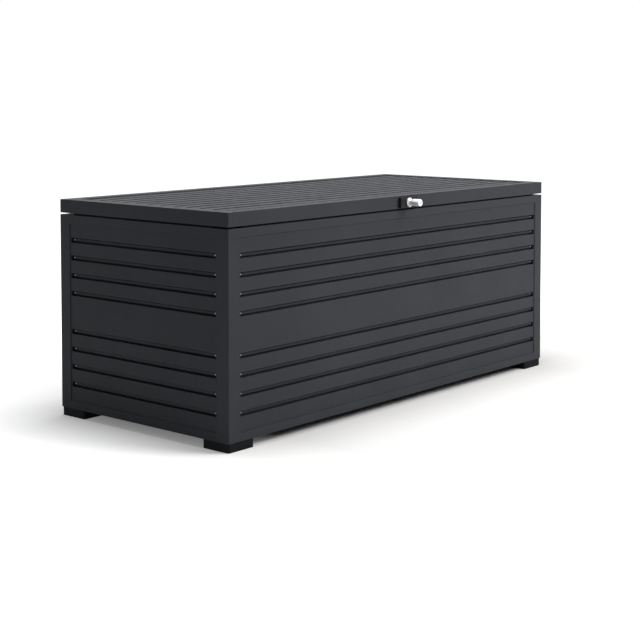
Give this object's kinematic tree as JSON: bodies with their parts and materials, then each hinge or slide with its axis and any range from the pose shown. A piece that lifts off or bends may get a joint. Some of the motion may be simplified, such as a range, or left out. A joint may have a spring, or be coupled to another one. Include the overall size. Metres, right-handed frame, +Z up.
{
  "type": "cushion storage box",
  "caption": "Long outdoor storage box for seat cushions, with grooved panels in a tube frame, corner feet, and a hinged lid on gas struts with a cam lock.",
  "frame": {"origin": "on the floor, under the middle of the case's footprint", "axes": "+X along the long front to the right, +Y from the front to the hinges, +Z up"},
  "size_m": [1.6, 0.773, 0.6585],
  "materials": {
    "frame_coat": "anthracite powder coat, fine matt texture",
    "panel_coat": "anthracite powder coat, fine matt texture",
    "black_plastic": "moulded black plastic, matt",
    "black_rubber": "soft black rubber",
    "chrome": "satin chrome plate",
    "lock_black": "dark satin moulding",
    "strut_black": "black satin paint",
    "bright_steel": "zinc plated steel, satin"
  },
  "bodies": {
    "case": {"back_bottom_rail": "frame_coat", "back_left_foot": "black_plastic", "back_left_post": "frame_coat", "back_panel": "panel_coat", "back_right_foot": "black_plastic", "back_right_post": "frame_coat", "back_top_rail": "frame_coat", "floor_panel": "frame_coat", "front_bottom_rail": "frame_coat", "front_left_foot": "black_plastic", "front_left_post": "frame_coat", "front_panel": "panel_coat", "front_right_foot": "black_plastic", "front_right_post": "frame_coat", "front_top_rail": "frame_coat", "left_bottom_rail": "frame_coat", "left_floor_bearer": "frame_coat", "left_hinge_case_leaf": "bright_steel", "left_hinge_pin": "bright_steel", "left_panel": "panel_coat", "left_strut_foot_bracket": "bright_steel", "left_strut_stile": "frame_coat", "left_top_rail": "frame_coat", "lid_seal": "black_rubber", "lock_keeper": "bright_steel", "middle_floor_bearer": "frame_coat", "right_bottom_rail": "frame_coat", "right_floor_bearer": "frame_coat", "right_hinge_case_leaf": "bright_steel", "right_hinge_pin": "bright_steel", "right_panel": "panel_coat", "right_strut_foot_bracket": "bright_steel", "right_strut_stile": "frame_coat", "right_top_rail": "frame_coat"},
    "lid": {"lid_back_rail": "frame_coat", "lid_front_rail": "frame_coat", "lid_left_rail": "frame_coat", "lid_panel": "panel_coat", "lid_right_rail": "frame_coat", "left_hinge_lid_leaf": "bright_steel", "left_lid_brace": "frame_coat", "left_strut_head_bracket": "bright_steel", "right_hinge_lid_leaf": "bright_steel", "right_lid_brace": "frame_coat", "right_strut_head_bracket": "bright_steel", "lock_housing": "lock_black", "lock_ring": "chrome"},
    "lock": {"lock_knob": "chrome", "lock_spindle": "bright_steel", "lock_cam": "bright_steel"},
    "left_rod": {"left_strut_rod": "bright_steel"},
    "right_rod": {"right_strut_rod": "bright_steel"},
    "left_tube": {"left_strut_tube": "strut_black"},
    "right_tube": {"right_strut_tube": "strut_black"}
  },
  "joints": [
    {"name": "lid_hinge", "type": "hinge", "parent": "case", "child": "lid", "pos_m": [0, 0.359, 0.61575], "axis": [-1, 0, 0], "range_deg": [0, 80]},
    {"name": "lock_turn", "type": "hinge", "parent": "lid", "child": "lock", "pos_m": [0, -0.354, 0.6375], "axis": [0, 1, 0], "range_deg": [0, 90]},
    {"name": "left_rod_pivot", "type": "hinge", "parent": "case", "child": "left_rod", "pos_m": [-0.741, 0.259, 0.38662], "axis": [-1, 0, 0], "range_deg": [0, 40]},
    {"name": "left_tube_pivot", "type": "hinge", "parent": "lid", "child": "left_tube", "pos_m": [-0.741, 0.1093, 0.628], "axis": [-1, 0, 0], "range_deg": [-40, 0]},
    {"name": "right_rod_pivot", "type": "hinge", "parent": "case", "child": "right_rod", "pos_m": [0.741, 0.259, 0.38662], "axis": [-1, 0, 0], "range_deg": [0, 40]},
    {"name": "right_tube_pivot", "type": "hinge", "parent": "lid", "child": "right_tube", "pos_m": [0.741, 0.1093, 0.628], "axis": [-1, 0, 0], "range_deg": [-40, 0]}
  ],
  "couplings": [
    {"joint": "left_rod_pivot", "follows": "lid_hinge", "ratio": 0.5},
    {"joint": "left_tube_pivot", "follows": "lid_hinge", "ratio": -0.5},
    {"joint": "right_rod_pivot", "follows": "lid_hinge", "ratio": 0.5},
    {"joint": "right_tube_pivot", "follows": "lid_hinge", "ratio": -0.5}
  ]
}
